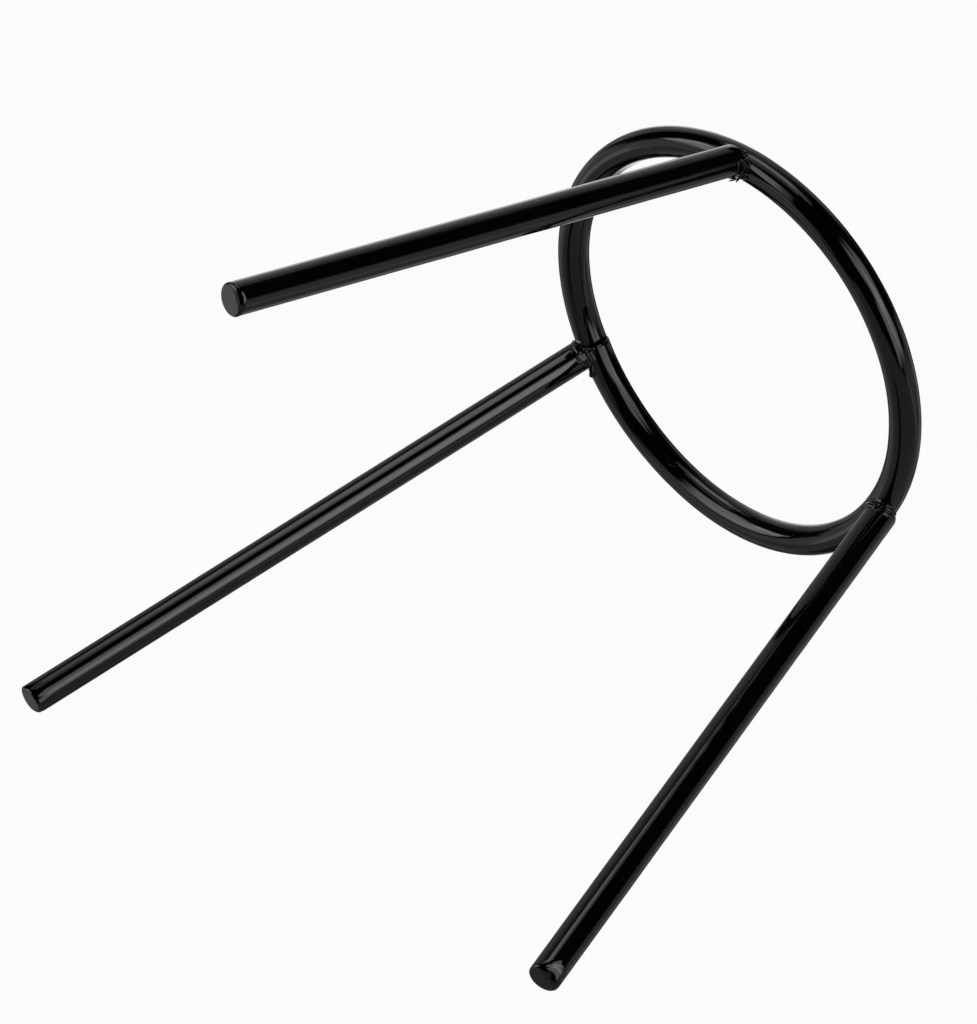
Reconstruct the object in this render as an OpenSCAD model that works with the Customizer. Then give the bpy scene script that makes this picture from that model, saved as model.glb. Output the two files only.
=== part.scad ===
// Lab tripod stand: a ring of round bar on three splayed legs, resistance-welded and dipped in black gloss paint.
// The stand is upright with +Z up. The origin is on the floor, straight under the centre of the ring.

/* [Ring] */
// Height of the whole stand, from the floor to the top of the ring
stand_h = 150; // [100:1:250]
// Clear width across the inside of the ring
ring_inner_d = 90; // [60:1:140]
// Thickness of the round bar that the ring is bent from
ring_bar_d = 7; // [5:0.1:10]
// Gap between the two cut ends of the ring's bar, at the inner side of the ring
end_gap = 1.3; // [0.4:0.1:2]
// Depth of metal that the closing weld joins, from the outer side of the ring
end_weld = 3; // [2:0.1:4]

/* [Legs] */
// Thickness of the round bar that the legs are cut from
leg_bar_d = 7; // [5:0.1:10]
// Distance from the ring's axis to the middle of a foot's end face
foot_reach = 90; // [60:1:140]
// Direction of the first leg, in degrees round from +X
first_leg_angle = 90; // [0:1:359]
// How far each leg's joint on the ring is off its even share of the circle, in degrees
joint_scatter = [3, -1, 4]; // [-8:0.5:8]
// How far each foot is off its even share of the circle, in degrees
foot_scatter = [1, -1.5, -4]; // [-8:0.5:8]
// How far each foot is off the common reach
reach_scatter = [-1, -1.5, 3]; // [-5:0.5:5]
// How far outside the middle of the ring's bar the legs' axes pass
leg_offset = 0.85; // [0:0.05:1.5]
// Radius of the rounded edges at the legs' ends
leg_edge_r = 0.9; // [0.3:0.1:1.5]

/* [Welds] */
// How far the hot end of a leg has sunk over the underside of the ring
weld_sink = 1.7; // [1.2:0.1:2]
// Radius of the bead of metal squeezed out round a leg's top end
bead_r = 1.5; // [0.8:0.1:2]
// Distance from a leg's top end down to the middle of its bead
bead_drop = 0.8; // [0.4:0.1:2]

/* [Hidden] */
$fn = 96;
leg_count = 3;
paint_black = [0.03, 0.03, 0.035];
weld_black = [0.08, 0.08, 0.09];

ring_bar_r = ring_bar_d / 2;
leg_bar_r = leg_bar_d / 2;
ring_r = ring_inner_d / 2 + ring_bar_r;
ring_z = stand_h - ring_bar_r;
// The third leg is welded over the place where the ring's two ends meet
seam_leg = leg_count - 1;

function even_angle(i) = first_leg_angle + i * 360 / leg_count;
function joint_angle(i) = even_angle(i) + joint_scatter[i];
function foot_angle(i) = even_angle(i) + foot_scatter[i];
function polar(radius, angle, z) = [radius * cos(angle), radius * sin(angle), z];

// Where a leg's axis passes the plane of the ring, and the point on the floor under its foot
function leg_top(i) = polar(ring_r + leg_offset, joint_angle(i), ring_z);
function floor_point(i) = polar(foot_reach + reach_scatter[i], foot_angle(i), 0);
function splay(i) = let (run = leg_top(i) - floor_point(i)) acos(run.z / norm(run));
// A foot's end face is lifted so that its rounded edge just touches the floor
function foot_lift(i) = leg_edge_r * (1 - cos(splay(i))) + (leg_bar_r - leg_edge_r) * sin(splay(i));
function foot_centre(i) = floor_point(i) + [0, 0, foot_lift(i)];
function axis_run(i) = leg_top(i) - foot_centre(i);
function leg_length(i) = norm(axis_run(i)) - (ring_bar_r - weld_sink);

// Puts its children on a leg's axis, with their origin at the foot and +Z towards the ring
module on_leg(i) {
    run = axis_run(i);
    translate(foot_centre(i))
        rotate([0, acos(run.z / norm(run)), atan2(run.y, run.x)])
            children();
}

// The ring's bar as if it were closed, which is what the legs and beads are cut against
module ring_bar() {
    translate([0, 0, ring_z])
        rotate_extrude()
            translate([ring_r, 0])
                circle(r = ring_bar_r);
}

// The wedge between the ring's two cut ends, open to the inside of the ring
module end_wedge() {
    wedge_depth = ring_bar_d - end_weld;
    clear = ring_bar_r;
    slope = end_gap / 2 / wedge_depth;
    back = wedge_depth + clear;
    rotate([0, 0, joint_angle(seam_leg)])
        translate([ring_r + ring_bar_r - end_weld, 0, ring_z - ring_bar_d])
            linear_extrude(2 * ring_bar_d)
                polygon([[0, 0], [-back, back * slope], [-back, -back * slope]]);
}

// Half outline of a straight cut bar with rounded edges at both ends
module bar_outline(length) {
    core_r = leg_bar_r - leg_edge_r;
    translate([0, leg_edge_r])
        square([leg_bar_r, length - 2 * leg_edge_r]);
    square([core_r, length]);
    for (y = [leg_edge_r, length - leg_edge_r])
        translate([core_r, y])
            circle(r = leg_edge_r);
}

module leg_bar(i) {
    on_leg(i)
        rotate_extrude()
            intersection() {
                bar_outline(leg_length(i));
                square([leg_bar_d, leg_length(i)]);
            }
}

module ring() {
    color(paint_black)
        difference() {
            ring_bar();
            end_wedge();
        }
}

module leg(i) {
    color(paint_black)
        difference() {
            leg_bar(i);
            ring_bar();
        }
}

module weld(i) {
    color(weld_black)
        difference() {
            on_leg(i)
                translate([0, 0, leg_length(i) - bead_drop])
                    rotate_extrude()
                        translate([leg_bar_r, 0])
                            circle(r = bead_r);
            leg_bar(i);
            ring_bar();
        }
}

ring();
leg(0);  // leg_1
leg(1);  // leg_2
leg(2);  // leg_3
weld(0);  // weld_1
weld(1);  // weld_2
weld(2);  // weld_3
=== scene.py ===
import math
import random

import bpy
import numpy as np
from mathutils import Matrix, Vector


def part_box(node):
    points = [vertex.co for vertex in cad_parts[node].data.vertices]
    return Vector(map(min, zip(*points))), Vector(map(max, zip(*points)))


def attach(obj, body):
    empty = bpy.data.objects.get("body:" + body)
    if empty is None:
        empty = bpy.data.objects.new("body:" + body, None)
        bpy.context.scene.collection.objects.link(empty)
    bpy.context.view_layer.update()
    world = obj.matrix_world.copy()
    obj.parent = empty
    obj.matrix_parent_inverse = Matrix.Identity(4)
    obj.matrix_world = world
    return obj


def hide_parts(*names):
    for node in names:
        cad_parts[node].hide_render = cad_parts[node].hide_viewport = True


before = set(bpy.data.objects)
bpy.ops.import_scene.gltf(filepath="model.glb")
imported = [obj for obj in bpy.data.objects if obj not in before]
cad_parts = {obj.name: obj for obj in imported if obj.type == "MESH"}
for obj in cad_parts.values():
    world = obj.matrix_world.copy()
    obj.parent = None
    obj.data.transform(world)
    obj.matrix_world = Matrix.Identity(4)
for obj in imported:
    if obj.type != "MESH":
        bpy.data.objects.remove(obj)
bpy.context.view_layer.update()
print("frame loaded:", ", ".join(sorted(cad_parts)))

mm = 0.001
scene = bpy.context.scene

# everything below is worked out in millimetres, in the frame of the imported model
ringLow, ringHigh = (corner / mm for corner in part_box("ring"))
barRadius = (ringHigh.z - ringLow.z) / 2
ringRadius = (ringHigh.x - ringLow.x) / 2 - barRadius
ringHeight = (ringHigh.z + ringLow.z) / 2


def polar(radius, angle, height):
    turn = math.radians(angle)
    return np.array([radius * math.cos(turn), radius * math.sin(turn), height])


def unit(vector):
    return vector / np.linalg.norm(vector)


def smooth(x):
    x = np.clip(x, 0.0, 1.0)
    return x * x * (3.0 - 2.0 * x)


def wave(points, length, seed):
    # a soft random swell between about -1 and 1, with hills about one length apart
    draw = random.Random(seed)
    total = np.zeros(len(points))
    for _ in range(7):
        way = unit(np.array([draw.gauss(0, 1) for _ in range(3)]))
        pace = 2 * math.pi / (length * draw.uniform(0.7, 1.6))
        total += np.sin(points @ (way * pace) + draw.uniform(0, 2 * math.pi))
    return total / 3.2


# camera: it looks up at the stand from below the floor, between legs 1 and 2
viewpoint = {
    "aim": (3.25, -5.0, 71.26),
    "distance": 1152.1,
    "azimuth": 223.95,
    "elevation": -33.81,
    "roll": 56.64,
    "lens": 191.07,
}


def cameraAxes(values):
    turn, tilt, roll = (math.radians(values[key]) for key in ("azimuth", "elevation", "roll"))
    back = np.array([
        math.sin(turn) * math.cos(tilt),
        -math.cos(turn) * math.cos(tilt),
        math.sin(tilt),
    ])
    level = unit(np.cross((0.0, 0.0, 1.0), back))
    rise = np.cross(back, level)
    right = math.cos(roll) * level + math.sin(roll) * rise
    up = math.cos(roll) * rise - math.sin(roll) * level
    return right, up, back


right, up, back = cameraAxes(viewpoint)
eye = (np.array(viewpoint["aim"]) + back * viewpoint["distance"]) * mm
cameraData = bpy.data.cameras.new("camera")
cameraData.lens = viewpoint["lens"]
cameraData.sensor_width = 36
cameraData.clip_start = 0.01
cameraData.clip_end = 50
camera = bpy.data.objects.new("camera", cameraData)
columns = np.column_stack([right, up, back, eye])
camera.matrix_world = Matrix([*columns.tolist(), [0, 0, 0, 1]])
scene.collection.objects.link(camera)
scene.camera = camera
scene.view_settings.view_transform = "Standard"
print("camera ready")


# studio: what the gloss mirrors. The softboxes are turned with the camera stand:
# azimuth is round from behind the lens, elevation is up the picture, both in degrees.
# Half sizes are for a box one unit away, edge is how soft its border is, and a level
# below nothing is a black flag that shades what lies behind it.
# These numbers came from separate programs, not from setting lights by hand: the dark level
# and all rows but the first two from a fit, and the directions and levels of those two from
# a second program. Only the gloss mirrors them: see the plain light below.
studio = {
    "dark": 0.011,         # what the gloss mirrors between the softboxes
    "backdrop": 0.965,     # the plain light that everything but the gloss sees
    "floor": 0.86,         # how pale the floor is
    "floorHalf": 1.2,      # half the floor's width, in metres
    "floorFade": (0.35, 1.1),    # where it starts to fade and where it is gone, in metres
    "lampPlace": (-0.25, -0.2, 0.8),
    "lampSize": 0.5,
    "lampPower": 2.2,
    # azimuth, elevation, roll, half width, half height, edge, level
    "softboxes": [
        (-113.5, -14.0, 0.0, 0.14, 0.14, 0.08, 0.5),    # this and the next: the legs' cut ends
        (-122.7, -50.4, 0.0, 0.1, 0.1, 0.1, 0.09),
        (133.8, -86.6, -60.2, 1.797, 1.199, 0.27, 0.266),
        (-63.6, 16.8, -34.7, 0.319, 0.4, 0.266, 2.275),
        (-160.2, -11.2, 3.8, 1.187, 0.559, 0.27, 0.375),
        (40.1, 3.1, -22.3, 0.599, 0.212, 0.145, 1.643),
        (-178.7, 48.4, -50.4, 0.754, 0.632, 0.27, 0.312),
        (36.1, -15.0, -48.9, 0.256, 0.296, 0.183, 1.713),
        (-84.3, -6.9, 18.3, 0.44, 0.445, 0.27, 0.538),
        (46.8, 17.4, -8.6, 0.258, 0.268, 0.174, 1.505),
        (101.2, -16.5, 11.5, 1.026, 0.258, 0.221, 0.389),
        (5.1, 68.5, 32.7, 0.164, 0.351, 0.115, 1.64),
        (179.1, -0.2, -73.5, 0.347, 0.607, 0.134, -0.276),
        (-22.5, 66.4, -11.9, 0.295, 0.369, 0.03, 0.464),
        (-85.9, 23.1, -43.0, 0.078, 0.201, 0.114, 2.701),
        (178.5, -19.9, 87.4, 0.303, 0.035, 0.27, 3.923),
        (-179.5, 27.5, -62.7, 0.228, 0.104, 0.267, 1.132),
        (-161.9, -34.7, -22.0, 0.241, 0.352, 0.27, -0.259),
        (116.9, 7.4, 0.2, 0.413, 0.106, 0.129, 0.356),
        (23.3, 55.7, -33.9, 0.127, 0.045, 0.233, -2.5),
        (-178.7, 53.4, 8.4, 0.318, 0.179, 0.148, 0.226),
        (-102.8, -59.2, -11.1, 0.544, 0.043, 0.27, -0.394),
        (122.3, 33.1, -73.8, 0.437, 0.099, 0.088, 0.098),
        (-79.9, 71.3, -64.0, 0.046, 0.052, 0.202, 1.381),
        (111.2, -14.8, -32.0, 0.163, 0.13, 0.056, -0.139),
        (145.8, -39.9, 38.1, 0.191, 0.046, 0.051, -0.243),
        (95.7, 73.4, 25.0, 0.142, 0.147, 0.019, 0.101),
        (113.0, -23.4, -39.4, 0.138, 0.03, 0.02, -0.304),
    ],
}


def softboxAxes(azimuth, elevation, turned):
    turn, tilt, roll = math.radians(azimuth), math.radians(elevation), math.radians(turned)
    centre = np.array([
        math.cos(turn) * math.cos(tilt),
        math.sin(turn) * math.cos(tilt),
        math.sin(tilt),
    ])
    side = np.array([-math.sin(turn), math.cos(turn), 0.0])
    top = np.cross(centre, side)
    across = math.cos(roll) * side + math.sin(roll) * top
    along = math.cos(roll) * top - math.sin(roll) * side
    stand = np.array([back, right, up])
    return centre @ stand, across @ stand, along @ stand


def mathNode(tree, operation, first, second=None, third=None, clamp=False):
    node = tree.nodes.new("ShaderNodeMath")
    node.operation = operation
    node.use_clamp = clamp
    for socket, value in zip(node.inputs, (first, second, third)):
        if isinstance(value, (int, float)):
            socket.default_value = value
        elif value is not None:
            tree.links.new(value, socket)
    return node.outputs[0]


def dotNode(tree, direction, vector):
    node = tree.nodes.new("ShaderNodeVectorMath")
    node.operation = "DOT_PRODUCT"
    tree.links.new(direction, node.inputs[0])
    node.inputs[1].default_value = vector.tolist()
    return node.outputs["Value"]


def easeNode(tree, value, low, high):
    node = tree.nodes.new("ShaderNodeMapRange")
    node.interpolation_type = "SMOOTHSTEP"
    tree.links.new(value, node.inputs["Value"])
    node.inputs["From Min"].default_value = low
    node.inputs["From Max"].default_value = high
    return node.outputs["Result"]


def buildStudio():
    world = bpy.data.worlds.new("studio")
    scene.world = world
    world.use_nodes = True
    tree = world.node_tree
    tree.nodes.clear()
    direction = tree.nodes.new("ShaderNodeTexCoord").outputs["Generated"]
    total = studio["dark"]
    for azimuth, elevation, turned, halfWidth, halfHeight, edge, level in studio["softboxes"]:
        centre, sideways, upwards = softboxAxes(azimuth, elevation, turned)
        front = dotNode(tree, direction, centre)
        depth = mathNode(tree, "MAXIMUM", front, 0.001)
        shown = mathNode(tree, "MULTIPLY", easeNode(tree, front, 0.0, 0.1), level)
        for axis, half in ((sideways, halfWidth), (upwards, halfHeight)):
            across = mathNode(tree, "DIVIDE", dotNode(tree, direction, axis), depth)
            offset = mathNode(tree, "ABSOLUTE", across)
            reach = half + edge / 2
            border = easeNode(tree, offset, reach - edge, reach)
            shown = mathNode(tree, "MULTIPLY", shown, mathNode(tree, "SUBTRACT", 1.0, border))
        total = mathNode(tree, "ADD", shown, total)
    glossLight = tree.nodes.new("ShaderNodeBackground")
    tree.links.new(total, glossLight.inputs["Strength"])
    plainLight = tree.nodes.new("ShaderNodeBackground")
    plainLight.inputs["Strength"].default_value = studio["backdrop"]
    for light in (glossLight, plainLight):
        light.inputs["Color"].default_value = (1.0, 1.0, 1.0, 1.0)
    path = tree.nodes.new("ShaderNodeLightPath")
    mix = tree.nodes.new("ShaderNodeMixShader")
    output = tree.nodes.new("ShaderNodeOutputWorld")
    tree.links.new(path.outputs["Is Glossy Ray"], mix.inputs[0])
    tree.links.new(plainLight.outputs[0], mix.inputs[1])
    tree.links.new(glossLight.outputs[0], mix.inputs[2])
    tree.links.new(mix.outputs[0], output.inputs["Surface"])


def buildFloor():
    # the floor is seen only from above, and fades into the backdrop further out
    material = bpy.data.materials.new("paleFloor")
    material.use_nodes = True
    tree = material.node_tree
    tree.nodes.clear()
    coords = tree.nodes.new("ShaderNodeTexCoord").outputs["Object"]
    length = tree.nodes.new("ShaderNodeVectorMath")
    length.operation = "LENGTH"
    tree.links.new(coords, length.inputs[0])
    fade = easeNode(tree, length.outputs["Value"], *studio["floorFade"])
    facing = tree.nodes.new("ShaderNodeNewGeometry").outputs["Backfacing"]
    hidden = mathNode(tree, "MAXIMUM", fade, facing)
    surface = tree.nodes.new("ShaderNodeBsdfDiffuse")
    surface.inputs["Color"].default_value = (studio["floor"], studio["floor"], studio["floor"], 1.0)
    clear = tree.nodes.new("ShaderNodeBsdfTransparent")
    mix = tree.nodes.new("ShaderNodeMixShader")
    output = tree.nodes.new("ShaderNodeOutputMaterial")
    tree.links.new(hidden, mix.inputs[0])
    tree.links.new(surface.outputs[0], mix.inputs[1])
    tree.links.new(clear.outputs[0], mix.inputs[2])
    tree.links.new(mix.outputs[0], output.inputs["Surface"])
    mesh = bpy.data.meshes.new("floor")
    half = studio["floorHalf"]
    corners = [(-half, -half, 0), (half, -half, 0), (half, half, 0), (-half, half, 0)]
    mesh.from_pydata(corners, [], [(0, 1, 2, 3)])
    mesh.materials.append(material)
    floor = bpy.data.objects.new("floor", mesh)
    scene.collection.objects.link(floor)
    floor.visible_glossy = False


def buildLamp():
    data = bpy.data.lights.new("overheadLamp", "AREA")
    data.shape = "DISK"
    data.size = studio["lampSize"]
    data.energy = studio["lampPower"]
    lamp = bpy.data.objects.new("overheadLamp", data)
    lamp.location = studio["lampPlace"]
    lamp.rotation_euler = Vector(studio["lampPlace"]).to_track_quat("Z", "Y").to_euler()
    lamp.visible_glossy = False
    lamp.visible_camera = False
    scene.collection.objects.link(lamp)


buildStudio()
buildFloor()
buildLamp()
print("studio ready, softboxes and flags:", len(studio["softboxes"]))


# paint: one thick dipped coat of black gloss over everything, a little duller over the welds.
# Sizes and depths are in mm: peel is its fine ripple, sag its slow swell, specks the dust nibs.
thinPatches = 6.0    # where the coat ran thin
dullPatches = 3.0    # where it dried duller
nibSpacing = 2.6
paints = {
    "dippedBlackPaint": dict(
        thin=(0.0006, 0.0006, 0.0007), thick=(0.0002, 0.0002, 0.00025), gloss=(0.018, 0.045),
        peelSize=1.8, peel=0.0008, sagSize=16.0, sag=0.010, specks=0.004,
    ),
    "paintedWeldMetal": dict(
        thin=(0.0009, 0.0009, 0.001), thick=(0.0002, 0.0002, 0.00025), gloss=(0.02, 0.05),
        peelSize=1.2, peel=0.0005, sagSize=5.0, sag=0.003, specks=0.002,
    ),
}


def buildPaint(name):
    values = paints[name]
    material = bpy.data.materials.new(name)
    material.use_nodes = True
    tree = material.node_tree
    shader = tree.nodes["Principled BSDF"]
    coords = tree.nodes.new("ShaderNodeTexCoord").outputs["Object"]

    def noise(size, detail):
        node = tree.nodes.new("ShaderNodeTexNoise")
        tree.links.new(coords, node.inputs["Vector"])
        node.inputs["Scale"].default_value = 1.0 / (size * mm)
        node.inputs["Detail"].default_value = detail
        return node.outputs["Fac"]

    def bump(height, distance, below=None):
        node = tree.nodes.new("ShaderNodeBump")
        node.inputs["Strength"].default_value = 1.0
        node.inputs["Distance"].default_value = distance * mm
        tree.links.new(height, node.inputs["Height"])
        if below is not None:
            tree.links.new(below, node.inputs["Normal"])
        return node.outputs["Normal"]

    # colour: the coat is a touch greyer where it ran thin
    tone = tree.nodes.new("ShaderNodeMix")
    tone.data_type = "RGBA"
    tree.links.new(easeNode(tree, noise(thinPatches, 3.0), 0.35, 0.65), tone.inputs["Factor"])
    tone.inputs["A"].default_value = (*values["thin"], 1.0)
    tone.inputs["B"].default_value = (*values["thick"], 1.0)
    tree.links.new(tone.outputs["Result"], shader.inputs["Base Color"])

    # gloss: slightly duller in patches
    gloss = tree.nodes.new("ShaderNodeMapRange")
    tree.links.new(noise(dullPatches, 4.0), gloss.inputs["Value"])
    gloss.inputs["From Min"].default_value = 0.3
    gloss.inputs["From Max"].default_value = 0.7
    gloss.inputs["To Min"].default_value = values["gloss"][0]
    gloss.inputs["To Max"].default_value = values["gloss"][1]
    tree.links.new(gloss.outputs["Result"], shader.inputs["Roughness"])

    # dust nibs caught in the wet coat, a few of them only
    cells = tree.nodes.new("ShaderNodeTexVoronoi")
    tree.links.new(coords, cells.inputs["Vector"])
    cells.inputs["Scale"].default_value = 1.0 / (nibSpacing * mm)
    nib = mathNode(tree, "SUBTRACT", 1.0, easeNode(tree, cells.outputs["Distance"], 0.0, 0.09))

    sagging = bump(noise(values["sagSize"], 1.0), values["sag"])
    peeling = bump(noise(values["peelSize"], 2.0), values["peel"], sagging)
    dusty = bump(nib, values["specks"], peeling)
    tree.links.new(dusty, shader.inputs["Normal"])
    shader.inputs["IOR"].default_value = 1.5
    return material


blackPaint = buildPaint("dippedBlackPaint")
weldPaint = buildPaint("paintedWeldMetal")
print("paint ready")


def addPiece(name, points, faces, material, node, normals=None):
    mesh = bpy.data.meshes.new(name)
    mesh.from_pydata((points * mm).tolist(), [], faces.tolist())
    mesh.validate()
    mesh.shade_smooth()
    if normals is not None:
        mesh.normals_split_custom_set_from_vertices(normals.tolist())
    mesh.materials.append(material)
    piece = bpy.data.objects.new(name, mesh)
    scene.collection.objects.link(piece)
    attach(piece, "root")
    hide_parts(node)
    print("built", name, "faces", len(mesh.polygons))
    return piece


def tubeFaces(rings, around):
    # quads between neighbouring rings of points
    first, second = np.meshgrid(np.arange(rings - 1), np.arange(around), indexing="ij")
    nextOne = (second + 1) % around
    quads = np.stack([
        first * around + second,
        first * around + nextOne,
        (first + 1) * around + nextOne,
        (first + 1) * around + second,
    ], axis=-1).reshape(-1, 4)
    return quads


def closedTube(points, rings, around):
    # the tube's side, and a fan over each end round a new point in its middle
    caps = [points[:around].mean(axis=0), points[-around:].mean(axis=0)]
    faces = tubeFaces(rings, around).tolist()
    last = rings * around
    for index in range(around):
        following = (index + 1) % around
        faces.append([last, following, index])
        faces.append([last + 1, (rings - 1) * around + index, (rings - 1) * around + following])
    return np.vstack([points, caps]), faces


# ring: bent from one bar, a little out of true, with its two cut ends meeting over leg 3
ring = {
    "seamAngle": 336.0,
    "gapInside": 1.35,     # width of the wedge between the ends, at the ring's inner side
    "joinedDepth": 4.0,    # how deep the ends are joined, from the outer side
    "insideCut": 0.04,     # how far short of the wedge each end stops, under the weld's skin
    "lobes": {3: (0.24, 0.17), 4: (0.12, -0.03)},   # bending left it slightly lobed
    "startPull": (-0.34, 17.0),   # the end before the seam sits inwards, and how far round that fades
    "endPull": (0.14, 20.0),
    "pullStep": 0.6,              # degrees over which the one gives way to the other
    "gapCurve": 1.6,              # how sharply the wedge opens towards the inner side
    "swells": [(0.018, 19.0, 11), (0.006, 5.0, 12)],    # the coat's: depth, length, seed
    "warp": (0.12, 40.0),         # how far the top dips, and where round the ring
    "rings": 620,
    "around": 72,
}


def fromSeam(angle):
    return (angle - ring["seamAngle"] + 180.0) % 360.0 - 180.0


def ringCentre(angle):
    # radius and height of the bar's middle at an angle in degrees
    turn = np.radians(angle)
    radius = np.full_like(angle, ringRadius)
    for count, (along, across) in ring["lobes"].items():
        radius += along * np.cos(count * turn) + across * np.sin(count * turn)
    offset = fromSeam(angle)
    before = ring["startPull"][0] * np.exp(-np.abs(offset) / ring["startPull"][1])
    after = ring["endPull"][0] * np.exp(-np.abs(offset) / ring["endPull"][1])
    side = 0.5 + 0.5 * np.tanh(offset / ring["pullStep"])
    radius += before * (1 - side) + after * side
    height = ringHeight - ring["warp"][0] * (0.5 + 0.5 * np.cos(2 * (turn - math.radians(ring["warp"][1]))))
    return radius, height


def ringCoat(points):
    return sum(depth * wave(points, length, seed) for depth, length, seed in ring["swells"])


def ringField(points):
    # distance from the ring's painted surface, negative inside
    angle = np.degrees(np.arctan2(points[:, 1], points[:, 0])) % 360.0
    radius, height = ringCentre(angle)
    away = np.hypot(np.hypot(points[:, 0], points[:, 1]) - radius, points[:, 2] - height)
    return away - barRadius - ringCoat(points)


def gapHalf(rho):
    # half the width of the wedge between the ring's ends, at a distance from the ring's axis
    deep = 2 * barRadius - ring["joinedDepth"]
    depth = ringRadius + barRadius - ring["joinedDepth"] - rho
    opening = ring["gapInside"] / 2 * np.clip(depth / deep, 0.0, 1.6) ** ring["gapCurve"]
    return opening - 0.1 * np.clip(-depth, 0.0, 3.0)


def gapField(points):
    # distance out of the wedge
    angle = np.degrees(np.arctan2(points[:, 1], points[:, 0])) % 360.0
    rho = np.hypot(points[:, 0], points[:, 1])
    return np.abs(np.radians(fromSeam(angle)) * rho) - gapHalf(rho)


def buildRing():
    rings, around = ring["rings"], ring["around"]
    turn = 2 * math.pi * np.arange(around) / around
    steps = np.linspace(0.0, 1.0, rings)
    points = []
    for step in steps:
        # near its ends a section leans to follow the cut
        out = np.cos(turn)
        wedge = np.maximum(gapHalf(ringRadius + barRadius * out), 0.0)
        half = np.degrees((wedge + ring["insideCut"]) / ringRadius)
        start, end = half, 360.0 - half
        angle = (ring["seamAngle"] + start + (end - start) * step) % 360.0
        radius, height = ringCentre(angle)
        centre = np.stack([
            (radius + barRadius * out) * np.cos(np.radians(angle)),
            (radius + barRadius * out) * np.sin(np.radians(angle)),
            height + barRadius * np.sin(turn),
        ], axis=1)
        coat = ringCoat(centre)
        outward = np.stack([
            out * np.cos(np.radians(angle)),
            out * np.sin(np.radians(angle)),
            np.sin(turn),
        ], axis=1)
        points.append(centre + outward * coat[:, None])
    return closedTube(np.concatenate(points), rings, around)


# legs: straight bar, cropped in a shear that rolled parts of each cut's rim over.
# Each roll: the side it faces in degrees, how far round it spreads, how deep it goes across
# the bar and how far it runs up it. Sharp is the rounding left elsewhere, and cant tips the
# cut over towards the side given with it.
legs = {
    "leg_1": dict(
        joint=93.0, foot=91.0, reach=89.0, rolls=[(148.0, 100.0, 2.0, 1.5)],
        cant=(-0.16, 140.0), sharp=0.42, topEdge=1.7, seed=21,
    ),
    "leg_2": dict(
        joint=209.0, foot=208.5, reach=88.5, rolls=[(24.0, 95.0, 3.1, 4.4)],
        cant=(0.0, 4.0), sharp=0.42, topEdge=1.3, seed=22,
    ),
    "leg_3": dict(
        joint=334.0, foot=326.0, reach=93.0, rolls=[(-118.0, 85.0, 0.6, 5.2), (-15.0, 80.0, 1.2, 1.1)],
        cant=(0.1, -110.0), sharp=0.3, topEdge=1.0, seed=23,
    ),
}
legShape = {
    "outsideRing": 0.85,   # how far outside the ring's middle the leg's axis passes
    "sunk": 1.8,           # how far below the ring's middle the leg's top end stops
    "skinFrom": 5.7,       # the weld's skin takes over this far down
    "footEdge": 0.9,       # the rounding that sets how high the middle of a foot stands
    "cantFade": 12.0,      # how far up the bar the tipping of its cut dies out
    "swells": [(0.014, 23.0, 0), (0.005, 6.0, 40)],    # the coat's: depth, length, step in seed
    "around": 96,
}


def legAxis(leg):
    # foot point, joint point, and the leg's own axes: round the ring, outwards, up the leg
    joint = polar(ringRadius + legShape["outsideRing"], leg["joint"], ringHeight)
    ground = polar(leg["reach"], leg["foot"], 0.0)
    lean = unit(joint - ground)[2]
    edge = legShape["footEdge"]
    ground[2] = edge * (1 - lean) + (barRadius - edge) * math.sqrt(1 - lean * lean)
    upward = unit(joint - ground)
    outward = polar(1.0, leg["joint"], 0.0)
    outward = unit(outward - upward * (outward @ upward))
    sideways = np.cross(outward, upward)
    return ground, joint, np.array([sideways, outward, upward])


def legField(points, leg):
    ground, joint, axes = legAxis(leg)
    local = (points - joint) @ axes.T
    edge = leg["topEdge"]
    across = np.hypot(local[:, 0], local[:, 1]) - (barRadius - edge)
    above = local[:, 2] + legShape["sunk"] + edge
    inner = np.minimum(np.maximum(across, above), 0.0)
    return inner + np.hypot(np.maximum(across, 0.0), np.maximum(above, 0.0)) - edge - legCoat(points, leg)


def legCoat(points, leg):
    return sum(
        depth * wave(points, length, leg["seed"] + further)
        for depth, length, further in legShape["swells"]
    )


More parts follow.
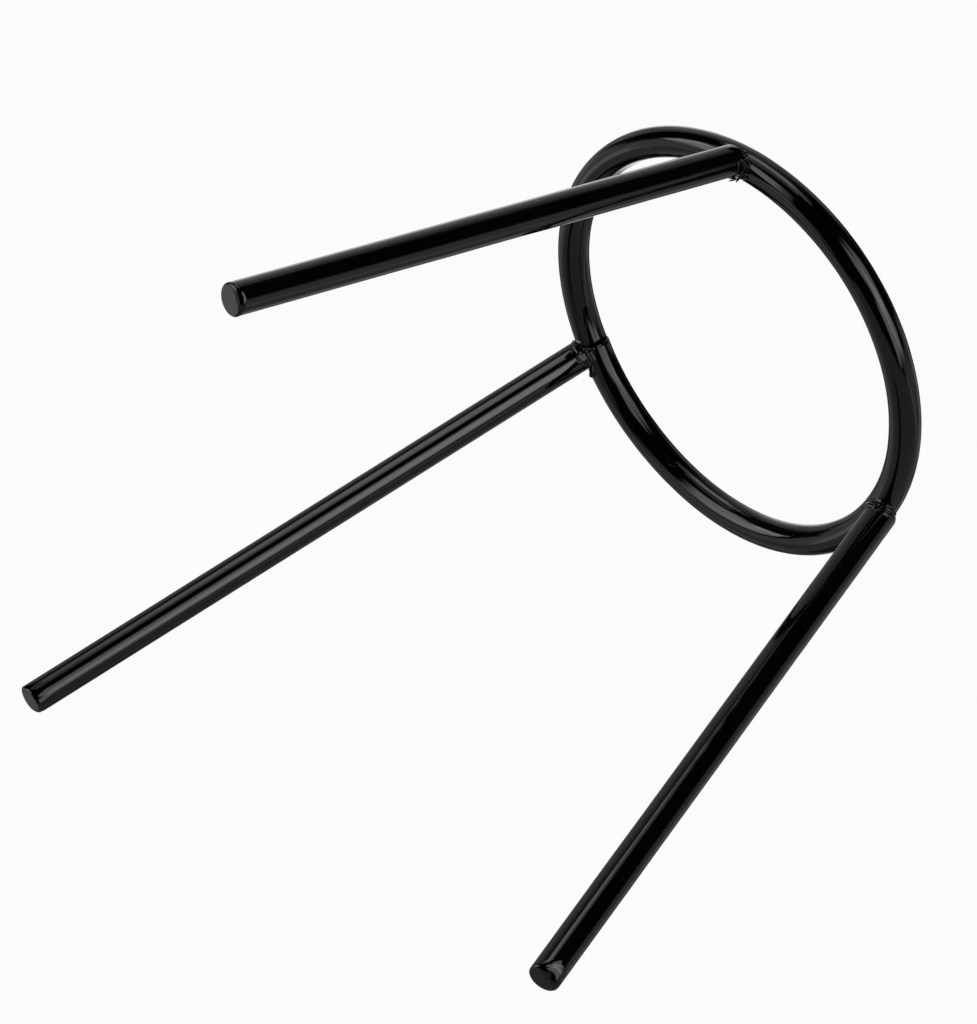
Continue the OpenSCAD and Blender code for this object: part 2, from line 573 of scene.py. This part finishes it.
def buildLeg(leg):
    ground, joint, axes = legAxis(leg)
    around = legShape["around"]
    turn = 2 * math.pi * np.arange(around) / around
    deep = np.full(around, leg["sharp"])
    long = deep.copy()
    for towards, spread, rollDeep, rollLong in leg["rolls"]:
        off = np.abs((np.degrees(turn) - towards + 180.0) % 360.0 - 180.0)
        rolled = smooth(1.0 - off / spread)
        deep = np.maximum(deep, leg["sharp"] + (rollDeep - leg["sharp"]) * rolled)
        long = np.maximum(long, leg["sharp"] + (rollLong - leg["sharp"]) * rolled)
    rows = []
    for part in np.linspace(0.08, 1.0, 9):   # the cut face, from its middle outwards
        rows.append(((barRadius - deep) * part, np.zeros(around)))
    for bend in np.radians(np.linspace(4.0, 90.0, 30)):   # its rim
        rows.append((barRadius - deep + deep * np.sin(bend), long * (1 - np.cos(bend))))
    length = np.linalg.norm(joint - ground) - legShape["skinFrom"]
    nearFoot = np.linspace(0.0, 1.0, 24)[1:] ** 1.3 * 8.0
    stations = np.concatenate([nearFoot, np.arange(9.0, length, 1.6), [length]])
    for station in stations:   # the side of the bar
        rows.append((np.full(around, barRadius), long + station * (1 - long / length)))
    points = []
    for radius, along in rows:
        x, y = radius * np.cos(turn), radius * np.sin(turn)
        cant, side = leg["cant"][0], math.radians(leg["cant"][1])
        fade = np.clip(1 - along / legShape["cantFade"], 0.0, 1.0)
        along = along + cant * (x * math.cos(side) + y * math.sin(side)) * fade
        points.append(ground + np.stack([x, y, along], axis=1) @ axes)
    flat = np.concatenate(points)
    axisPoint = ground + ((flat - ground) @ axes[2])[:, None] * axes[2]
    outward = flat - axisPoint
    outward /= np.maximum(np.linalg.norm(outward, axis=1, keepdims=True), 0.5)
    flat = flat + outward * legCoat(flat, leg)[:, None]
    return closedTube(flat, len(rows), around)


# welds: metal squeezed out round each joint, and the coat of paint bridging it.
# Places are in mm in the leg's own axes from the joint: round the ring, outwards, up the leg.
# Many began as listed points, which a separate program turned into these axes.
# A bead is a string of places with its thickness at each. A lip runs round the leg through
# points given as the side it faces in degrees, its height, and how proud of the leg it stands.
welds = {
    "weld_1": dict(
        leg="leg_1", fillet=0.25, beadFillet=0.3, seed=31,
        lips=[
            dict(
                run=[(225, -4.0, 0.0), (290, -3.2, 0.0), (340, -3.3, 0.0),
                     (380, -3.0, 0.0), (420, -2.9, -0.1)],
                thick=0.45, wander=0.25,
            ),
        ],
        beads=[
            [(-2.7, 1.4, -1.7, 0.5), (-3.0, 0.7, -2.5, 0.75), (-3.75, -0.25, -2.7, 0.85),
             (-3.45, -1.4, -2.7, 0.85), (-3.1, -2.55, -2.4, 0.7)],
            [(-3.1, 1.55, -3.6, 0.2), (-2.7, 1.85, -2.65, 0.24), (-2.6, 2.0, -1.75, 0.2)],
            [(-4.05, 1.4, -2.2, 0.3), (-4.25, 0.8, -2.65, 0.34), (-4.65, 0.2, -2.9, 0.3)],
            [(-0.25, 2.9, -6.2, 0.45), (-0.4, 2.9, -4.7, 0.78),
             (-1.0, 2.65, -3.5, 0.88), (-1.5, 1.8, -1.6, 0.7)],
            [(-2.7, -3.0, -3.9, 0.3), (-2.4, -3.35, -4.7, 0.2), (-2.25, -3.45, -5.6, 0.06)],
            [(-2.9, -3.1, -3.2, 0.26), (-2.8, -3.75, -3.6, 0.12)],
        ],
        grooves=[
            [(-3.3, 1.5, -4.85, 0.16), (-3.6, 0.4, -5.0, 0.3),
             (-3.5, -1.0, -4.75, 0.34), (-2.8, -2.4, -4.3, 0.2)],
        ],
        crumbs=[
            dict(centre=(-4.0, -0.6, -3.0), spread=(0.9, 2.0, 0.9), count=48, size=(0.26, 0.62)),
            dict(centre=(-3.3, 1.3, -2.7), spread=(0.6, 0.8, 0.7), count=16, size=(0.22, 0.5)),
        ],
    ),
    "weld_2": dict(
        leg="leg_2", fillet=0.25, beadFillet=0.18, seed=32,
        lips=[
            dict(
                run=[(115, -3.0, -0.1), (150, -3.2, 0.0), (200, -3.3, 0.0), (245, -3.1, 0.1)],
                thick=0.4, wander=0.2,
            ),
        ],
        beads=[
            [(-1.5, -3.1, -2.4, 0.45), (-0.6, -3.4, -2.85, 0.65), (0.3, -3.45, -3.3, 0.8),
             (1.75, -2.95, -3.9, 0.82), (2.8, -1.95, -4.4, 0.68), (3.25, -1.05, -4.7, 0.4)],
            [(0.6, -3.8, -1.9, 0.3), (2.5, -3.05, -2.65, 0.3)],
            [(1.5, -3.2, -2.7, 0.3), (3.0, -1.9, -3.45, 0.36)],
            [(3.25, -2.8, -2.95, 0.28), (4.05, -1.65, -3.3, 0.3)],
            [(3.9, -1.3, -3.2, 0.36), (3.95, -0.35, -3.1, 0.38),
             (3.8, 0.55, -2.7, 0.38), (3.15, 1.5, -1.95, 0.36)],
            [(3.5, -0.65, -3.75, 0.34), (3.55, 0.1, -3.7, 0.38),
             (3.45, 0.95, -3.4, 0.42), (2.5, 2.25, -2.5, 0.4)],
            [(3.35, -0.5, -4.8, 0.34), (3.35, 0.2, -4.75, 0.4), (3.25, 0.95, -4.55, 0.42),
             (2.85, 1.8, -4.15, 0.42), (2.2, 2.5, -3.6, 0.36)],
        ],
    ),
    "weld_3": dict(
        leg="leg_3", fillet=0.5, beadFillet=0.2, seed=33,
        lips=[
            dict(
                run=[(-30, -3.2, 0.0), (20, -3.0, 0.0), (70, -2.7, 0.0), (120, -2.8, 0.0), (160, -2.9, 0.0)],
                thick=0.42, wander=0.25,
            ),
        ],
        beads=[
            [(-2.95, -1.6, -5.35, 0.24), (-2.4, -2.3, -5.4, 0.34), (-1.85, -2.75, -5.45, 0.26)],
            [(-3.3, 0.3, -3.3, 0.5), (-3.2, -0.55, -3.6, 0.7),
             (-2.7, -1.85, -4.15, 0.9), (-1.75, -2.7, -4.35, 0.72)],
            [(-3.6, -0.85, -2.9, 0.45), (-3.05, -2.05, -2.65, 0.5)],
            [(-1.45, -2.95, -5.45, 0.3), (-0.7, -3.2, -5.45, 0.4), (0.3, -3.3, -5.25, 0.34)],
            [(-1.65, -3.0, -2.9, 0.5), (-0.6, -3.4, -2.95, 0.5),
             (1.0, -3.3, -2.8, 0.52), (2.05, -3.2, -2.7, 0.35)],
            [(-0.55, -3.5, -2.2, 0.26), (0.4, -3.65, -2.15, 0.32), (1.3, -3.8, -2.15, 0.26)],
            [(-1.2, -2.65, -4.5, 0.55), (0.2, -2.85, -4.4, 0.6),
             (1.6, -2.6, -4.0, 0.55), (2.6, -1.9, -3.6, 0.4)],
            [(-0.9, -2.85, -3.7, 0.6), (0.6, -2.85, -3.7, 0.6), (2.0, -2.6, -3.4, 0.5)],
            [(2.7, -2.7, -3.0, 0.5), (3.8, -2.5, -3.4, 0.62), (4.6, -2.3, -3.75, 0.64)],
            [(-1.3, -3.65, -1.95, 0.32), (-1.2, -4.1, -1.4, 0.32)],
        ],
        seam=True,
    ),
}
weldShape = {
    "step": 0.095,         # spacing of the grid the skin is taken from
    "block": 4,            # the first, coarse look takes one grid point in so many
    "coat": 0.008,         # how much fuller the coat is over a joint
    "core": 6.5,           # within this distance the skin stands proud
    "edge": 7.3,           # beyond this it has sunk into the bars
    "sunk": 0.1,           # by this much
    "below": 1.4,          # the middle of all this is this far down the leg from the joint
    "seamFillet": 0.18,    # how far paint softens the wedge, a lip, a groove and a crumb
    "lipFillet": 0.12,
    "grooveFillet": 0.15,
    "crumbFillet": 0.1,
}


def melt(first, second, reach):
    # smooth union of two distance fields
    share = np.clip(0.5 + 0.5 * (second - first) / reach, 0.0, 1.0)
    return second * (1 - share) + first * share - reach * share * (1 - share)


def capsule(local, start, end, startRadius, endRadius):
    start, end = np.array(start), np.array(end)
    run = end - start
    part = np.clip((local - start) @ run / (run @ run), 0.0, 1.0)
    radius = startRadius + (endRadius - startRadius) * part
    return np.linalg.norm(local - start - part[:, None] * run, axis=1) - radius


def beadField(local, bead):
    links = [capsule(local, a[:3], b[:3], a[3], b[3]) for a, b in zip(bead, bead[1:])]
    return np.min(links, axis=0)


def weldField(points, weld, rim=True):
    # distance from the painted surface of a joint; its rim dives into the bars, out of sight
    leg = legs[weld["leg"]]
    ground, joint, axes = legAxis(leg)
    local = (points - joint) @ axes.T
    ringAway = ringField(points)
    if weld.get("seam"):
        ringAway = -melt(-ringAway, gapField(points), weldShape["seamFillet"])
    legAway = legField(points, leg)
    shape = melt(ringAway, legAway, weld["fillet"])
    side = np.degrees(np.arctan2(local[:, 1], local[:, 0]))
    for index, lip in enumerate(weld["lips"]):
        sides, heights, prouds = np.array(lip["run"], float).T
        middle = (sides[0] + sides[-1]) / 2
        facing = middle + (side - middle + 180.0) % 360.0 - 180.0
        height = np.interp(facing, sides, heights) + lip["wander"] * wave(points, 2.6, weld["seed"] + index)
        proud = np.interp(facing, sides, prouds)
        fullness = smooth((np.minimum(facing - sides[0], sides[-1] - facing) + 12.0) / 24.0)
        thick = lip["thick"] * (1.0 + 0.1 * wave(points, 1.9, weld["seed"] + 10 + index))
        tube = np.hypot(legAway - proud, local[:, 2] - height) - thick * fullness
        shape = melt(shape, tube + 0.5 * (1 - fullness), weldShape["lipFillet"])
    for bead in weld["beads"]:
        shape = melt(shape, beadField(local, bead), weld["beadFillet"])
    for groove in weld.get("grooves", []):
        shape = -melt(-shape, beadField(local, groove), weldShape["grooveFillet"])
    draw = random.Random(weld["seed"])
    for patch in weld.get("crumbs", []):
        for _ in range(patch["count"]):
            place = [
                middle + spread * max(-1.0, min(1.0, draw.gauss(0, 0.5)))
                for middle, spread in zip(patch["centre"], patch["spread"])
            ]
            size = draw.uniform(*patch["size"])
            stretch = unit(np.array([draw.gauss(0, 1) for _ in range(3)])) * size * draw.uniform(0.2, 1.1)
            grain = capsule(local, place - stretch / 2, place + stretch / 2, size * 0.6, size * 0.35)
            shape = melt(shape, grain, weldShape["crumbFillet"])
    if not rim:
        return shape
    away = np.linalg.norm(local + np.array([0.0, 0.0, weldShape["below"]]), axis=1)
    sink = weldShape["sunk"] * smooth((away - weldShape["core"]) / (weldShape["edge"] - weldShape["core"]))
    return np.maximum(shape - weldShape["coat"] + sink, away - weldShape["edge"] - 0.1)


def skinFromField(field, low, high, step):
    # one vertex in each grid cell that the surface crosses, and a quad round each crossed edge
    axes = [np.arange(a, b + step, step) for a, b in zip(low, high)]
    grid = np.stack(np.meshgrid(*axes, indexing="ij"), axis=-1)
    counts = grid.shape[:3]
    # a look at one point in each block says where the surface can't be
    block = weldShape["block"]
    middles = [np.minimum(np.arange(0, n, block) + block // 2, n - 1) for n in counts]
    coarse = field(grid[np.ix_(*middles)].reshape(-1, 3)).reshape([len(m) for m in middles])
    values = coarse[np.ix_(*[np.arange(n) // block for n in counts])]
    near = np.abs(values) < 1.4 * block * step
    close = grid[near]
    values[near] = np.concatenate([field(close[i:i + 200000]) for i in range(0, len(close), 200000)])
    cells = tuple(n - 1 for n in counts)
    total = np.zeros((*cells, 3))
    hits = np.zeros(cells)
    crossings = []
    for axis in range(3):
        here = [slice(None)] * 3
        there = [slice(None)] * 3
        here[axis], there[axis] = slice(None, -1), slice(1, None)
        a, b = values[tuple(here)], values[tuple(there)]
        crossed = (a < 0) != (b < 0)
        share = np.where(crossed, a / np.where(crossed, a - b, 1.0), 0.0)
        spot = grid[tuple(here)] + share[..., None] * (grid[tuple(there)] - grid[tuple(here)])
        spot = np.where(crossed[..., None], spot, 0.0)
        others = [k for k in range(3) if k != axis]
        for first in (0, 1):
            for second in (0, 1):
                cut = [slice(None)] * 3
                cut[others[0]] = slice(first, counts[others[0]] - 1 + first)
                cut[others[1]] = slice(second, counts[others[1]] - 1 + second)
                total += spot[tuple(cut)]
                hits += crossed[tuple(cut)]
        crossings.append((crossed, a < 0, others))
    used = hits > 0
    number = np.full(cells, -1)
    number[used] = np.arange(used.sum())
    vertices = total[used] / hits[used][:, None]
    faces = []
    for axis, (crossed, inside, others) in enumerate(crossings):
        inner = [slice(None)] * 3
        for other in others:
            inner[other] = slice(1, counts[other] - 1)
        where = np.argwhere(crossed[tuple(inner)])
        for other in others:
            where[:, other] += 1
        flip = inside[tuple(where.T)]
        corners = []
        for first, second in ((1, 1), (0, 1), (0, 0), (1, 0)):
            cell = where.copy()
            cell[:, others[0]] -= first
            cell[:, others[1]] -= second
            corners.append(number[tuple(cell.T)])
        quad = np.stack(corners, axis=1)
        if axis == 1:
            flip = ~flip
        quad[~flip] = quad[~flip][:, ::-1]
        faces.append(quad)
    return vertices, np.concatenate(faces)


def slopeOf(field, vertices, nudge):
    return np.stack([
        (field(vertices + nudge * way) - field(vertices - nudge * way)) / (2 * nudge)
        for way in np.eye(3)
    ], axis=1)


def settle(vertices, field, bare, rounds=3):
    # slides each vertex onto the surface, and gives the way the surface without its rim faces there
    for _ in range(rounds):
        slope = slopeOf(field, vertices, 0.01)
        size = np.maximum((slope ** 2).sum(axis=1), 0.2)
        shift = -(field(vertices) / size)[:, None] * slope
        vertices = vertices + np.clip(shift, -0.06, 0.06)
    slope = slopeOf(bare, vertices, 0.03)
    return vertices, slope / np.linalg.norm(slope, axis=1, keepdims=True)


def buildWeld(weld):
    ground, joint, axes = legAxis(legs[weld["leg"]])
    middle = joint - axes[2] * weldShape["below"]
    reach = weldShape["edge"] + 0.4
    low = middle - reach
    high = middle + reach

    def field(points):
        return weldField(points, weld)

    def bare(points):
        return weldField(points, weld, rim=False)

    vertices, faces = skinFromField(field, low, high, weldShape["step"])
    vertices, normals = settle(vertices, field, bare)
    return vertices, normals, faces


vertices, faces = buildRing()
addPiece("ringBar", vertices, np.array(faces, dtype=object), blackPaint, "ring")
for name, leg in legs.items():
    vertices, faces = buildLeg(leg)
    addPiece("legBar_" + name[-1], vertices, np.array(faces, dtype=object), blackPaint, name)
for name, weld in welds.items():
    vertices, normals, faces = buildWeld(weld)
    addPiece("weldSkin_" + name[-1], vertices, faces, weldPaint, name, normals)
